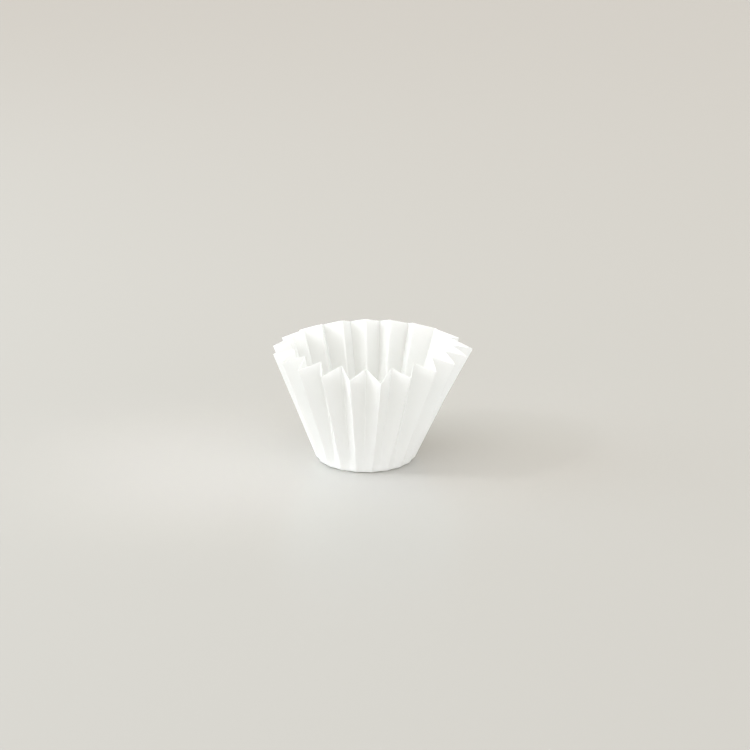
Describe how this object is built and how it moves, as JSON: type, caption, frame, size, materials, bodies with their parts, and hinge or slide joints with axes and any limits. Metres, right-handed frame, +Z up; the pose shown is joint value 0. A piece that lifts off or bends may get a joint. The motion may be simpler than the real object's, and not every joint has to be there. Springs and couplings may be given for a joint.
{
  "type": "paper coffee filter",
  "caption": "White flat-bottomed paper coffee filter with a fluted wall that flares to a zigzag rim.",
  "frame": {"origin": "middle of the flat base, on the table", "axes": "+Z up through the mouth, -Y towards the viewer, +X to the viewer's right"},
  "size_m": [0.1107, 0.1092, 0.0646],
  "materials": {
    "filter_paper": "matt"
  },
  "bodies": {
    "root": {"filter_paper": "filter_paper"}
  },
  "joints": []
}
